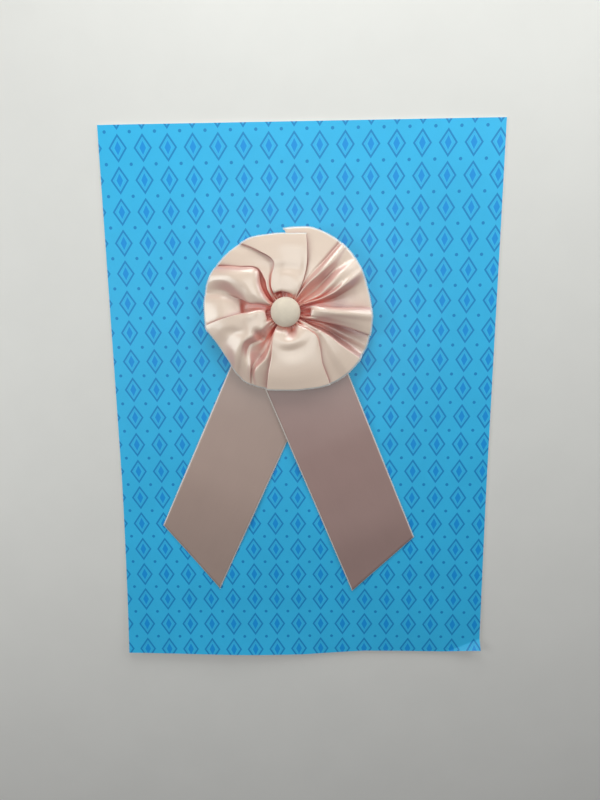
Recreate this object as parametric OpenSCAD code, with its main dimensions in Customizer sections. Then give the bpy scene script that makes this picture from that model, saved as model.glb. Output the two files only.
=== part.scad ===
// Ribbon cockade held on a flat printed card.
// The card lies on its back: +Z points out of its printed face and +Y to the top of the print.
// The origin is the centre of the card's back. All sizes are in millimetres.

/* [Card] */
// Width of the card
card_w = 230; // [150:1:300]
// Height of the card
card_h = 330; // [220:1:430]
// Thickness of the board
card_t = 1.0; // [0.8:0.1:3]

/* [Rosette] */
// Middle of the rosette, to the right of the card's middle
rosette_x = -8.9; // [-40:0.1:40]
// Middle of the rosette, above the card's middle
rosette_y = 59.5; // [20:0.1:100]
// Thickness of the ribbon's wall
cloth_t = 1.0; // [1:0.1:2]
// Radius of the gathered inner edge
ring_r = 5.5; // [5:0.1:8]
// Radius where the gathers come out from under the button
lip_r = 8.6; // [7:0.1:10]
// Radius of the near station of the fold table
near_r = 12; // [10:0.5:14]
// Radius of the middle station of the fold table
mid_r = 20; // [16:0.5:24]
// Radius of the far station of the fold table
far_r = 31; // [26:0.5:36]
// Share of the near height that the gathers have at the lip
lip_share = 0.2; // [0:0.05:0.6]
// Widest step between the grid's columns, in degrees
column_step = 3.2; // [2:0.1:8]
// Strips of the grid between the inner edge and the rim
strips = 13; // [8:1:20]

/* [Tails] */
// Width of the ribbon
ribbon_w = 50; // [25:1:60]
// Turn of the left tail from straight down, in degrees
left_turn = -24.6; // [-45:0.1:0]
// Sideways shift of the left tail from the rosette's middle
left_shift = -7.3; // [-15:0.1:15]
// Length of the left tail's outer edge from the rosette's middle
left_outer_len = 155.5; // [100:0.5:200]
// Length of the left tail's inner edge from the rosette's middle
left_inner_len = 180.4; // [100:0.5:200]
// Turn of the right tail from straight down, in degrees
right_turn = 22.1; // [0:0.1:45]
// Sideways shift of the right tail from the rosette's middle
right_shift = 4.6; // [-15:0.1:15]
// Length of the right tail's inner edge from the rosette's middle
right_inner_len = 181.0; // [100:0.5:200]
// Length of the right tail's outer edge from the rosette's middle
right_outer_len = 161.1; // [100:0.5:200]
// Stretch of each tail past the middle, under the rosette
tail_hidden = 9; // [6:0.5:20]
// Gap between pieces that lie on each other
lay_gap = 0.25; // [0.2:0.05:0.5]

/* [Button] */
// Radius of the covered button
button_r = 8.6; // [6:0.1:12]
// Height of the button's rim above the card's back
button_base = 9.4; // [7:0.1:12]
// Height of the upright side of the button
button_side = 1.2; // [0.6:0.1:2]
// Height of the dome over the upright side
button_rise = 3.8; // [2:0.1:5]
// Wall of the cloth cap
cap_t = 1.0; // [1:0.1:2]
// Radius of the shoulder that the gathers close round
shoulder_r = 5.2; // [3:0.1:5.2]
// Radius of the post through tails and card
post_r = 1.8; // [1:0.1:3]
// Gap round the post and under the cap
fit_gap = 0.2; // [0.1:0.05:0.4]

/* [Hidden] */
$fn = 48;

tail_low = card_t + lay_gap + cloth_t / 2;
full_lift = cloth_t + lay_gap;
// Height of the shapes that cut through cloth and card
cutter_h = 12;
shoulder_base = tail_low + full_lift + cloth_t / 2 + lay_gap;

// The folds of the ribbon, one row for each fold line, in order along the ribbon.
// Angles run anticlockwise from +X about the rosette's middle, in degrees.
// Heights are those of the cloth's middle above the card's back.
// Columns: fold, angle near, angle mid, angle far, angle rim,
//          height ring, height near, height mid, height far, height rim, radius rim
c_near = 1;
c_mid = 2;
c_far = 3;
c_rim = 4;
h_ring = 5;
h_near = 6;
h_mid = 7;
h_far = 8;
h_rim = 9;
r_rim = 10;
folds = [
  ["first end, on top",      52.5,  59.0,  65.5,  74.6, 6.4, 10.5, 13.2, 12.2, 6.6, 45.1],
  ["top panel",              88.0,  88.0,  88.0,  92.0, 6.0, 13.0, 13.2, 11.8, 6.2, 43.8],
  ["top panel's left edge", 120.0, 112.0, 103.5, 117.5, 5.4, 12.0, 13.0, 12.6, 5.6, 45.8],
  ["crease below it",       125.5, 116.5, 107.5, 121.5, 5.2,  8.8,  9.8,  9.6, 4.8, 46.1],
  ["upper left panel",      131.5, 122.5, 118.0, 143.0, 5.2,  9.6, 10.8, 10.0, 5.0, 47.4],
  ["small loop",            138.0, 130.0, 123.5, 147.0, 4.8,  5.2,  5.6,  9.2, 4.9, 47.9],
  ["left petal's ridge",    146.0, 138.0, 130.0, 151.0, 5.2, 10.6, 13.2, 13.2, 6.4, 48.3],
  ["left petal's crest",    152.0, 150.0, 146.0, 156.0, 5.2, 11.2, 14.2, 14.2, 6.8, 48.4],
  ["left petal's low edge", 157.0, 160.0, 157.0, 160.0, 5.2,  9.8, 12.4, 11.0, 5.8, 48.5],
  ["left valley",           162.5, 165.0, 163.0, 164.5, 4.8,  5.0,  5.0,  7.6, 4.8, 48.5],
  ["left valley's floor",   169.0, 175.5, 180.5, 184.5, 4.8,  5.0,  5.2,  8.2, 5.2, 47.9],
  ["lower petal's edge",    174.5, 180.5, 186.0, 190.0, 5.2, 11.0, 12.6, 10.8, 6.0, 48.0],
  ["lower petal's crest",   184.0, 188.0, 193.0, 197.0, 5.2, 12.2, 14.2, 12.4, 5.6, 45.9],
  ["lower petal's dimple",  196.0, 198.0, 202.0, 208.0, 5.2, 11.8, 13.4, 10.0, 4.8, 44.1],
  ["lower petal's ridge",   207.0, 208.0, 212.0, 221.0, 5.2, 11.0, 13.2, 12.2, 5.8, 44.8],
  ["lower petal's side",    215.0, 217.5, 225.0, 234.0, 5.2,  9.6, 10.6,  9.2, 5.0, 47.3],
  ["small inner fold",      222.0, 227.0, 238.0, 245.0, 4.8,  5.4,  6.0,  9.6, 5.4, 47.6],
  ["lower valley",          229.0, 237.0, 247.0, 250.5, 4.8,  5.0,  5.0,  6.8, 4.8, 47.0],
  ["bottom panel's left edge", 235.5, 244.0, 252.0, 254.5, 5.2, 10.8, 12.6, 12.0, 5.6, 46.7],
  ["bottom panel, left",    250.0, 257.0, 261.0, 264.0, 5.2, 12.0, 13.4, 11.8, 5.4, 45.9],
  ["bottom panel's pleat",  277.0, 277.0, 279.0, 279.0, 5.0,  7.0, 13.0, 11.0, 5.0, 46.1],
  ["bottom panel, right",   300.0, 303.0, 300.0, 295.0, 5.2, 12.0, 13.6, 11.8, 5.4, 48.3],
  ["bottom panel's right edge", 314.0, 322.5, 312.0, 302.5, 5.2, 10.8, 12.6, 12.2, 5.8, 49.7],
  ["crease beside it",      319.0, 326.5, 315.5, 306.0, 5.0,  7.4,  9.2,  8.8, 4.8, 50.2],
  ["lower right panel",     326.0, 330.5, 323.0, 316.0, 5.0,  8.6, 10.2, 10.2, 5.8, 51.0],
  ["thin ridge",            332.0, 334.5, 331.0, 329.0, 5.0,  8.6,  9.8,  8.8, 5.2, 51.5],
  ["right valley",          337.5, 339.5, 338.0, 336.5, 4.8,  5.0,  5.0,  5.6, 4.8, 51.8],
  ["right tube's low edge", 343.0, 345.0, 344.0, 342.6, 5.0,  8.8, 10.0,  9.6, 5.4, 51.3],
  ["right tube's crest",    351.0, 351.0, 351.0, 350.0, 5.2, 12.6, 15.0, 14.6, 7.8, 50.7],
  ["right tube's top",      362.0, 360.0, 357.5, 356.0, 5.2, 12.4, 14.4, 13.8, 7.8, 50.2],
  ["right tube's top edge", 368.5, 366.5, 363.0, 360.6, 5.2, 11.0, 12.8, 12.2, 7.2, 49.9],
  ["upper valley",          374.0, 371.5, 367.5, 364.5, 4.8,  5.0,  5.4,  7.6, 6.0, 49.8],
  ["upper valley's floor",  379.0, 378.5, 379.5, 381.0, 4.8,  6.6,  7.6,  8.4, 4.8, 49.4],
  ["narrow ridge",          385.5, 384.0, 385.0, 389.0, 5.0, 10.4, 12.4, 13.2, 7.0, 49.8],
  ["plateau beside it",     390.5, 390.5, 393.5, 397.0, 5.0,  8.6, 10.2, 12.0, 6.8, 50.0],
  ["wide valley",           397.0, 398.5, 401.5, 402.5, 4.8,  5.0,  5.6,  8.8, 6.0, 50.2],
  ["wide ridge",            408.0, 411.0, 410.0, 407.5, 5.0, 10.8, 13.6, 13.6, 6.8, 50.2],
  ["thin crease",           413.5, 416.5, 415.4, 412.8, 4.8,  8.6, 10.8, 11.2, 5.4, 50.0],
  ["upper right panel",     418.5, 421.5, 422.0, 421.0, 4.6,  8.6, 11.0, 11.2, 5.2, 49.8],
  ["under the seam",        424.0, 427.5, 429.0, 435.0, 4.5,  7.6,  9.6,  9.2, 3.9, 48.9],
  ["last end, below",       434.0, 438.0, 442.0, 450.6, 4.5,  6.6,  8.8,  8.4, 3.5, 46.6]
];

// Height of each tail's middle along its length. Columns: share of its length, share of the full lift
left_lifts = [[0, 0], [0.47, 0], [0.58, 0.2], [0.70, 0.6], [0.83, 0.15], [0.93, 0.1], [1, 0.5]];
right_lifts = [[0, 1], [0.47, 1], [0.58, 0.4], [0.70, 0], [0.83, 0.4], [0.93, 0.1], [1, 0.3]];
profile_steps = 42;

// Slope of a row of values at one of them, flat where the values turn
function turn_slope(y, k) =
  let (before = y[max(k, 1)] - y[max(k, 1) - 1])
  let (after = y[min(k, len(y) - 2) + 1] - y[min(k, len(y) - 2)])
  before * after > 0 ? 2 * before * after / (before + after) : 0;

// Smooth curve through evenly spaced values, without overshoot
function through(y, u) =
  let (k = min(floor(u), len(y) - 2), t = u - k)
  y[k] * (1 + 2 * t) * pow(1 - t, 2) + turn_slope(y, k) * t * pow(1 - t, 2)
  + y[k + 1] * t * t * (3 - 2 * t) - turn_slope(y, k + 1) * t * t * (1 - t);

// Slope between unevenly spaced stations
function rise(x, y, k) = (y[k + 1] - y[k]) / (x[k + 1] - x[k]);
function station_slope(x, y, k) =
  let (last = len(x) - 1)
  k == 0 ? rise(x, y, 0)
  : k == last ? rise(x, y, last - 1)
  : let (before = rise(x, y, k - 1), after = rise(x, y, k))
    before * after > 0 ? 2 * before * after / (before + after) : 0;

// Smooth curve through unevenly spaced stations, without overshoot
function station_of(x, q, k = 0) = k >= len(x) - 2 || q < x[k + 1] ? k : station_of(x, q, k + 1);
function along(x, y, q) =
  let (k = station_of(x, q), h = x[k + 1] - x[k], t = (q - x[k]) / h)
  y[k] * (1 + 2 * t) * pow(1 - t, 2) + station_slope(x, y, k) * h * t * pow(1 - t, 2)
  + y[k + 1] * t * t * (3 - 2 * t) - station_slope(x, y, k + 1) * h * t * t * (1 - t);

// Columns of the rosette's grid: more of them where the fold lines lie far apart
function column(c) = [for (row = folds) row[c]];
function gap_after(k) = max(folds[k + 1][c_mid] - folds[k][c_mid], folds[k + 1][c_rim] - folds[k][c_rim]);
column_places = [
  for (k = [0:len(folds) - 2])
    let (n = ceil(gap_after(k) / column_step))
      for (i = [0:n - 1]) k + i / n,
  len(folds) - 1
];

near_angles = column(c_near);
mid_angles = column(c_mid);
far_angles = column(c_far);
rim_angles = column(c_rim);
ring_heights = column(h_ring);
near_heights = column(h_near);
mid_heights = column(h_mid);
far_heights = column(h_far);
rim_heights = column(h_rim);
rim_radii = column(r_rim);

// One column of the cloth's middle, from the inner edge to the rim
function cloth_column(u) =
  let (a_near = through(near_angles, u), h_in = through(ring_heights, u), h_out = through(near_heights, u))
  let (radii = [ring_r, lip_r, near_r, mid_r, far_r, through(rim_radii, u)])
  let (angles = [a_near, a_near, a_near, through(mid_angles, u), through(far_angles, u), through(rim_angles, u)])
  let (heights = [
    h_in,
    h_in + lip_share * (h_out - h_in),
    h_out,
    through(mid_heights, u),
    through(far_heights, u),
    through(rim_heights, u)
  ])
  [
    for (j = [0:strips])
      let (q = ring_r + (radii[5] - ring_r) * j / strips, a = along(radii, angles, q))
        [q * cos(a), q * sin(a), along(radii, heights, q)]
  ];

cloth_middle = [for (u = column_places) cloth_column(u)];
last_column = len(column_places) - 1;

// Direction in which the wall is thickened: between the cloth's normal and upright
function unit(v) = v / norm(v);
function cloth_normal(i, j) =
  unit(cross(
    cloth_middle[i][min(j + 1, strips)] - cloth_middle[i][max(j - 1, 0)],
    cloth_middle[min(i + 1, last_column)][j] - cloth_middle[max(i - 1, 0)][j]
  ));
function wall_offset(i, j) =
  let (n = cloth_normal(i, j), d = unit(n + [0, 0, 1]))
  d * (cloth_t / 2) / (d * n);

// Faces of a grid of quads, each as two triangles
function grid_faces(first, columns, rows, up) = [
  for (i = [0:columns - 1])
    for (j = [0:rows - 1])
      let (a = first + i * (rows + 1) + j, b = a + rows + 1)
        for (f = [[a, b, b + 1], [a, b + 1, a + 1]]) up ? f : [f[0], f[2], f[1]]
];

// Faces that close the edge between the two sides along a list of points
function edge_faces(path, below) = [
  for (k = [0:len(path) - 2])
    for (f = [[path[k], path[k] + below, path[k + 1]], [path[k + 1], path[k] + below, path[k + 1] + below]]) f
];

module gathered_ribbon() {
  count = (last_column + 1) * (strips + 1);
  top = [for (i = [0:last_column]) for (j = [0:strips]) cloth_middle[i][j] + wall_offset(i, j)];
  bottom = [for (i = [0:last_column]) for (j = [0:strips]) cloth_middle[i][j] - wall_offset(i, j)];
  border = concat(
    [for (i = [0:last_column]) i * (strips + 1)],
    [for (j = [1:strips]) last_column * (strips + 1) + j],
    [for (i = [last_column - 1:-1:0]) i * (strips + 1) + strips],
    [for (j = [strips - 1:-1:0]) j]
  );
  polyhedron(
    points = concat(top, bottom),
    faces = concat(
      grid_faces(0, last_column, strips, true),
      grid_faces(count, last_column, strips, false),
      edge_faces(border, count)
    )
  );
}

// A flat length of ribbon that rises and falls along its length, cut at a slant
module ribbon_tail(turn, shift, low, lifts, near_len, far_len) {
  reach = max(near_len, far_len);
  shares = [for (row = lifts) row[0]];
  rises = [for (row = lifts) row[1]];
  path = [
    for (k = [0:profile_steps])
      let (s = k / profile_steps)
        [-tail_hidden + s * (reach + tail_hidden), low + full_lift * along(shares, rises, s)]
  ];
  upper = [for (p = path) [p[0], p[1] + cloth_t / 2]];
  lower = [for (k = [profile_steps:-1:0]) [path[k][0], path[k][1] - cloth_t / 2]];
  outline = [
    [shift - ribbon_w / 2, -tail_hidden],
    [shift + ribbon_w / 2, -tail_hidden],
    [shift + ribbon_w / 2, near_len],
    [shift - ribbon_w / 2, far_len]
  ];
  translate([rosette_x, rosette_y, 0])
    rotate([0, 0, 180 + turn])
      difference() {
        intersection() {
          translate([shift - ribbon_w / 2, 0, 0])
            rotate([90, 0, 90])
              linear_extrude(height = ribbon_w)
                polygon(concat(upper, lower));
          linear_extrude(height = cutter_h)
            polygon(outline);
        }
        cylinder(r = post_r + fit_gap, h = cutter_h);
      }
}

module card() {
  color([0.28, 0.68, 0.90])
    difference() {
      translate([-card_w / 2, -card_h / 2, 0])
        cube([card_w, card_h, card_t]);
      translate([rosette_x, rosette_y, -cutter_h / 2])
        cylinder(r = post_r + fit_gap, h = cutter_h);
    }
}

module tail_left() {
  color([0.62, 0.53, 0.49])
    ribbon_tail(left_turn, left_shift, tail_low, left_lifts, left_outer_len, left_inner_len);
}

module tail_right() {
  color([0.64, 0.55, 0.51])
    ribbon_tail(right_turn, right_shift, tail_low, right_lifts, right_inner_len, right_outer_len);
}

module rosette() {
  color([0.93, 0.83, 0.78])
    translate([rosette_x, rosette_y, 0])
      gathered_ribbon();
}

// A low dome with an upright side, standing on the button's base
module dome(r, side, dome_rise) {
  sphere_r = (r * r + dome_rise * dome_rise) / (2 * dome_rise);
  intersection() {
    cylinder(r = r, h = side + dome_rise);
    translate([0, 0, side + dome_rise - sphere_r])
      sphere(r = sphere_r);
  }
}

module button_cover() {
  color([0.92, 0.86, 0.80])
    translate([rosette_x, rosette_y, button_base])
      difference() {
        dome(button_r, button_side, button_rise);
        translate([0, 0, -fit_gap])
          dome(button_r - cap_t, button_side + fit_gap, button_rise - cap_t);
      }
}

module button_core() {
  color([0.80, 0.78, 0.75])
    translate([rosette_x, rosette_y, 0]) {
      translate([0, 0, button_base])
        dome(button_r - cap_t - fit_gap, button_side - fit_gap, button_rise - cap_t);
      translate([0, 0, shoulder_base])
        cylinder(r = shoulder_r, h = button_base - shoulder_base);
      cylinder(r = post_r, h = shoulder_base);
    }
}

card();
tail_left();
tail_right();
rosette();
button_cover();
button_core();
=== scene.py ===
import math

import bmesh
import bpy
import numpy as np
from bpy.props import FloatProperty, FloatVectorProperty, IntProperty, PointerProperty
from mathutils import Matrix, Vector
from mathutils.bvhtree import BVHTree


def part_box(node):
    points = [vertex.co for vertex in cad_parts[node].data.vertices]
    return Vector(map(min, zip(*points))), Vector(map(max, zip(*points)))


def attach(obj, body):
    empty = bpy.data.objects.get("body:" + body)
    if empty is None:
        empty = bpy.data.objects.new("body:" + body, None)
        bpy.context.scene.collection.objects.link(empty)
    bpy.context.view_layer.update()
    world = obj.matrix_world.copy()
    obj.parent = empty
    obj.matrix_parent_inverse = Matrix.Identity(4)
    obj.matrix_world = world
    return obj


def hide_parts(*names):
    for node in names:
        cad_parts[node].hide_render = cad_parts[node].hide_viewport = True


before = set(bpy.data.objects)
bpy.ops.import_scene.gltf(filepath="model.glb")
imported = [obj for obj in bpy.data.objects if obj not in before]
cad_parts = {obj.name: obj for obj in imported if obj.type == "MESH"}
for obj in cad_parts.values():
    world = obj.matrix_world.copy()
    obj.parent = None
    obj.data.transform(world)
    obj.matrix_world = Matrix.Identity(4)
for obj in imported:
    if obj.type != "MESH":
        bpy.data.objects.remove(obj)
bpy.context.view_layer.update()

bl_info = {
    "name": "Ribbon cockade",
    "version": (1, 0, 0),
    "blender": (4, 5, 0),
    "location": "View3D > Sidebar > Cockade",
    "description": "Gathered ribbon cockade with two tails on its printed card",
    "category": "Object",
}

MM = 0.001
TURN = 2 * math.pi

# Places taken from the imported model, in metres
card_low, card_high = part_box("card")
button_low, button_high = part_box("button_cover")
middle_x = (button_low.x + button_high.x) / 2
middle_y = (button_low.y + button_high.y) / 2
card_top = card_high.z


def light(red, green, blue):
    """A screen colour of 0 to 255 as a light colour."""
    values = [v / 255 for v in (red, green, blue)]
    return tuple(v / 12.92 if v <= 0.04045 else ((v + 0.055) / 1.055) ** 2.4 for v in values)


# The rosette's fold lines, in order along the ribbon. Columns: name, angles in degrees at the
# radii 10.5, 16, 21, 28 and 37 mm and at the rim, heights in mm above the card's back at the
# radii of STATION_R and at the rim
FOLDS = [
    ("first end", 53.5, 57.5, 60, 64, 69.9, 74.6, 9.4, 10.8, 11.5, 11.6, 11.5, 11.1, 9.8),
    ("first end's fall", 56.5, 60, 62.5, 66.5, 72.5, 78, 10, 11.4, 11.8, 11.7, 11.5, 11.1, 9.9),
    ("top panel, right", 66, 68, 70, 73.5, 79, 84, 9.4, 11.2, 12.1, 11.6, 11.1, 10.9, 9.9),
    ("top panel", 88, 87, 86.5, 86, 89, 94, 5.6, 11.4, 12, 11.5, 11.1, 10.9, 9.9),
    ("top panel, left", 108, 104, 100, 96.5, 104, 111, 5.6, 11.4, 12.1, 11.9, 11.8, 11.1, 9.7),
    ("top panel's edge", 123.5, 119, 111.4, 102.3, 112.5, 122.5, 5.8, 11, 12, 12, 12.2, 11.2, 9),
    ("under the top panel", 119, 114, 105.5, 97.5, 113.6, 124, 7, 8.2, 9.4, 9.9, 10, 9.3, 7.5),
    ("upper left crease", 125.5, 120.5, 113, 104, 116.5, 127, 7.6, 8.9, 10.2, 10.4, 10.1, 9.4, 7.6),
    ("upper left panel", 128, 122.5, 116, 110.5, 123, 133.5, 8.4, 9.8, 11, 11.1, 10.5, 9.5, 7.9),
    ("upper left side", 130.5, 124, 118, 116.5, 131, 142, 8.8, 10.4, 11.4, 11.5, 10.5, 9.3, 7.4),
    ("slit's inner ridge", 133, 128, 121.3, 120, 134.6, 145.6, 8.6, 10.6, 11.9, 11.9, 10.6, 9.1, 6.2),
    ("slit", 138.5, 131, 124.8, 122.2, 135.6, 146.4, 5.6, 6.6, 7.4, 8.2, 9.8, 8.6, 5.2),
    ("slit, under the petal", 146, 140, 133.5, 125.5, 135.2, 146.2, 5, 5.4, 6, 6.8, 9, 8.4, 5.1),
    ("left petal's edge", 145.5, 138.5, 131.8, 123.6, 136.6, 147, 8.2, 9.2, 10.2, 10.4, 10.9, 9.4, 6),
    ("left petal's ridge", 150.5, 145, 139, 133, 140.5, 149.8, 10.4, 11.6, 12.8, 13.4, 13.4, 11.8, 7.2),
    ("left petal", 153.5, 151, 149, 144, 146.3, 153.4, 10.8, 12, 13.4, 14.2, 14, 12.5, 7.7),
    ("left petal's shoulder", 156.5, 157.5, 158.5, 155, 151.3, 156.8, 10.4, 11.6, 13, 13.4, 12.6, 11.9, 7.4),
    ("left petal's low edge", 159, 162.3, 165.8, 162.5, 161, 164.5, 9.2, 10.2, 11.4, 11.8, 9.4, 7.2, 5.3),
    ("left valley's near side", 157.5, 160, 163, 164, 163.6, 167, 5.2, 5.2, 5.2, 5.6, 7.2, 6.9, 4.8),
    ("left valley's floor", 165, 168.5, 172, 172.5, 170.5, 172.5, 4.9, 4.8, 4.8, 5.4, 8.3, 8.4, 6),
    ("left valley's far side", 171, 176, 180.5, 181.5, 183, 186, 4.9, 4.9, 5.2, 6, 8.8, 9.4, 6.4),
    ("under the lower petal", 180, 186.5, 190, 188.5, 187.5, 189.2, 5.2, 5.4, 5.8, 6.6, 8.6, 8.8, 6),
    ("lower petal's edge", 171.3, 175.5, 179.6, 182.5, 185.6, 188.8, 8, 10.4, 11.6, 12.4, 12.2, 10.8, 7.4),
    ("lower petal", 183, 184, 187, 190, 192.5, 197, 5.6, 11.2, 12.9, 13.8, 12.6, 10.8, 7.6),
    ("lower petal's dent", 196, 196, 198, 201, 204, 209, 5.8, 11.2, 12.8, 13.4, 12.6, 9.8, 6.6),
    ("lower petal's ridge", 208, 212, 213.5, 213, 219.5, 227, 10.2, 11.8, 12.6, 13.4, 13.4, 11.8, 7.4),
    ("lower petal's fall", 216, 219.5, 221.5, 217.5, 226.5, 234, 9.8, 10.6, 11.2, 11, 11.4, 10.3, 5.6),
    ("inner fold's foot", 226, 226, 226, 221.5, 231.5, 239, 8.2, 8.6, 9.4, 8.6, 8.8, 9.6, 5.8),
    ("inner fold", 229.5, 230, 230.5, 224.5, 235, 242.5, 7.4, 7.6, 8.2, 7.8, 8.6, 10.3, 5.9),
    ("lower slit's left side", 232.5, 233.5, 235, 237.5, 237.3, 243.5, 5.4, 5.4, 6, 5.6, 5.2, 8, 5.5),
    ("lower slit", 235, 237.5, 240, 242, 239.3, 245, 4.8, 4.7, 4.7, 5, 6.8, 8.5, 5.4),
    ("strip beside the slit", 237, 241, 245, 246.3, 242.5, 248, 7.2, 8.6, 10, 10.8, 11, 10.2, 6),
    ("bottom left crease", 238.5, 243, 247.8, 251, 252.3, 254.9, 6.8, 8.2, 9.4, 10.6, 10, 8.4, 5.2),
    ("under its left edge", 244, 250, 256, 259, 258.5, 255.9, 6.4, 7, 8.6, 10.2, 9.6, 8.2, 5),
    ("bottom left edge", 238, 242.8, 248, 252, 253.4, 255.3, 9.2, 10.6, 11.8, 12, 11.5, 10.9, 8.8),
    ("bottom panel, left", 268, 256.5, 259.5, 262, 263, 266, 10, 11.2, 12.4, 12.2, 12, 11.4, 9.6),
    ("bottom panel's dent", 289, 281.5, 280, 279, 279, 279, 6.2, 9.2, 12.9, 11.8, 12.1, 11.5, 9.8),
    ("bottom panel, right", 306, 305, 304.5, 299, 293, 291, 10, 11.2, 12.6, 12.2, 12.1, 11.5, 9.8),
    ("bottom right edge", 316, 322.5, 323.3, 314.8, 305.5, 301.4, 9.4, 10.4, 11.6, 12, 11.4, 11, 9.2),
    ("under its right edge", 309, 314, 314.5, 308.5, 301.5, 300.4, 8.2, 9, 9.6, 9.9, 9.6, 9.3, 7.2),
    ("bottom right crease", 317.6, 324.5, 325.3, 316.8, 307.5, 302.2, 8.6, 9.4, 10.3, 10.6, 10.2, 9.6, 7.6),
    ("lower right side", 321, 327, 328, 320.5, 312.5, 308.5, 8, 9, 10.2, 10.8, 10.6, 9.8, 7.2),
    ("lower right panel", 325, 329.3, 330, 326, 320.5, 317.5, 8.2, 9.2, 10.4, 11.2, 11.2, 10.6, 8.6),
    ("thin ridge", 331.2, 331.3, 331.8, 331, 328.8, 327.5, 8.8, 9.6, 10.4, 10.8, 11, 10.4, 8.2),
    ("lower right fall", 332.8, 333.2, 334, 334.4, 331.8, 330.6, 6.6, 7, 7.6, 8, 5.6, 4.8, 3.6),
    ("right valley", 334.5, 336, 337.5, 336, 334.6, 333.6, 4.8, 4.6, 4.6, 4.6, 4, 3.2, 2.7),
    ("strip in the valley", 338, 340.5, 342.3, 340.6, 338.6, 337.8, 4.9, 5, 5.2, 5.5, 4.9, 4.2, 3.2),
    ("right valley's far side", 341, 344, 346.5, 346, 344.6, 342.8, 4.8, 4.8, 4.8, 5, 4.2, 3.4, 3),
    ("under the tube", 348, 354, 356, 355, 352, 345.8, 4.9, 5.2, 5.2, 5.4, 5, 4.4, 3.8),
    ("tube's low edge", 341, 343.8, 345.3, 346, 345.5, 344.4, 8, 9, 10, 10.2, 10, 9, 6.6),
    ("tube's side", 345.5, 347.5, 348.5, 349.3, 349, 348, 7.8, 11, 12.8, 12, 11.8, 10.8, 7.6),
    ("tube's crest", 352, 353, 353.5, 354, 353.5, 352.8, 5.6, 6, 12.4, 13.9, 13.5, 12.1, 8.2),
    ("tube's top", 361, 362, 360.5, 358.8, 358, 357.2, 5.8, 6.2, 12.2, 14.9, 14.6, 13.3, 9),
    ("tube's top edge", 369, 371, 367.8, 364.8, 363.3, 362.4, 9.4, 10.8, 12.6, 12.9, 12.2, 10.8, 6.6),
    ("under the top edge", 362, 363, 359.5, 357, 357.5, 361.6, 4.9, 5.2, 5.4, 5.8, 6.4, 7, 6),
    ("upper valley", 372.5, 373.6, 370, 366.8, 365.4, 363.6, 5, 5.2, 5.4, 5.8, 6.3, 6.4, 5.3),
    ("upper valley's floor", 376, 375.8, 374, 371.5, 371, 371.5, 5, 5, 5.2, 5.9, 6.3, 6.2, 5.5),
    ("narrow ridge's foot", 379, 377.5, 376, 375.5, 377.8, 380.5, 5.6, 5.8, 6.2, 6.8, 6.9, 7, 6),
    ("narrow ridge", 383.5, 381, 379.6, 380.6, 384, 388, 9.2, 10.6, 11.8, 12.6, 13.2, 12.4, 7.8),
    ("narrow ridge's far side", 386, 383.5, 382.2, 383.8, 388, 391, 8, 8.8, 9.4, 9.2, 10.3, 11.5, 7.7),
    ("second ridge", 388.5, 386.5, 385.8, 389.6, 393, 394.5, 8.2, 9.2, 10.2, 11, 12.2, 12, 7.7),
    ("wide valley", 396, 395.5, 396, 398, 399.5, 399, 5.2, 5.4, 5.8, 6.6, 7.8, 8.8, 6.9),
    ("wide valley's far side", 404, 404, 403.3, 402, 402.3, 404.5, 5.6, 6.2, 7.2, 8.4, 9.4, 9.8, 7),
    ("wide ridge", 410, 410.5, 410, 407.5, 406.5, 407, 9.8, 11, 12.2, 13, 13, 11.8, 7.6),
    ("wide ridge's top", 411.6, 412.4, 412.3, 410, 409, 408.8, 9.4, 10.4, 11.4, 12, 12.2, 11.2, 7.3),
    ("thin crease", 413, 414.5, 415.3, 414, 411.8, 410.8, 7.2, 8.2, 9, 10, 10.2, 8.9, 6),
    ("upper right edge", 414.2, 416, 417.6, 417, 414.8, 413.6, 7.4, 8.6, 9.6, 10.3, 10.4, 9.8, 7.4),
    ("upper right panel", 415, 417.8, 420.5, 422.5, 423, 424, 7.2, 8.4, 9.4, 10, 10.1, 9.4, 7.4),
    ("under the seam", 417.5, 421, 425, 429, 434, 438, 6.4, 7.4, 8.4, 8.9, 9.1, 8.8, 7.6),
    ("last end", 424.5, 431, 436, 440.5, 445, 450.6, 6.2, 7, 8.6, 9.2, 9.6, 9.2, 7.4),
]
STATION_R = (10.5, 12.5, 16, 21, 28, 37)
# Place of each station across the ribbon, as the mean distance in mm from the gathered edge: the
# ring, the button's rim, those of STATION_R and the rosette's rim. Then the grid rows between them
ACROSS = (-1.5, 3.1, 5.6, 8.6, 12.6, 17.8, 25.0, 34.5, 44.5)
ROWS_BETWEEN = (4, 5, 7, 8, 9, 11, 13, 13)
# Folds with other radii in mm in place of those of STATION_R, as at an open inner end
OTHER_R = {
    "top panel, right": (9.9, 11, 16, 21, 28, 37),
    "top panel": (11.6, 11.4, 18.5, 24.5, 29, 37),
    "top panel, left": (12.7, 12.3, 16.5, 21.5, 28, 37),
    "top panel's edge": (12.7, 12.5, 16, 21, 28, 37),
    "left valley's near side": (10.5, 12.5, 16, 22.5, 28.6, 37),
    "left valley's floor": (10.5, 12.5, 16, 24.6, 27.3, 37),
    "left valley's far side": (10.5, 12.5, 16, 24, 26.7, 37),
    "lower petal": (11.9, 11.6, 16, 21, 28, 37),
    "lower petal's dent": (11.6, 11.4, 16, 21, 28, 37),
    "bottom panel, left": (10.5, 12.5, 17.2, 22.2, 28.5, 37),
    "bottom panel's dent": (10.5, 12.7, 17.4, 22.4, 29, 37),
    "bottom panel, right": (10.5, 12.5, 17.2, 22.2, 28.5, 37),
    "tube's crest": (11.6, 14.9, 14.6, 21, 28, 37),
    "tube's top": (11.6, 15, 14.7, 21, 28, 37),
}
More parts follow.
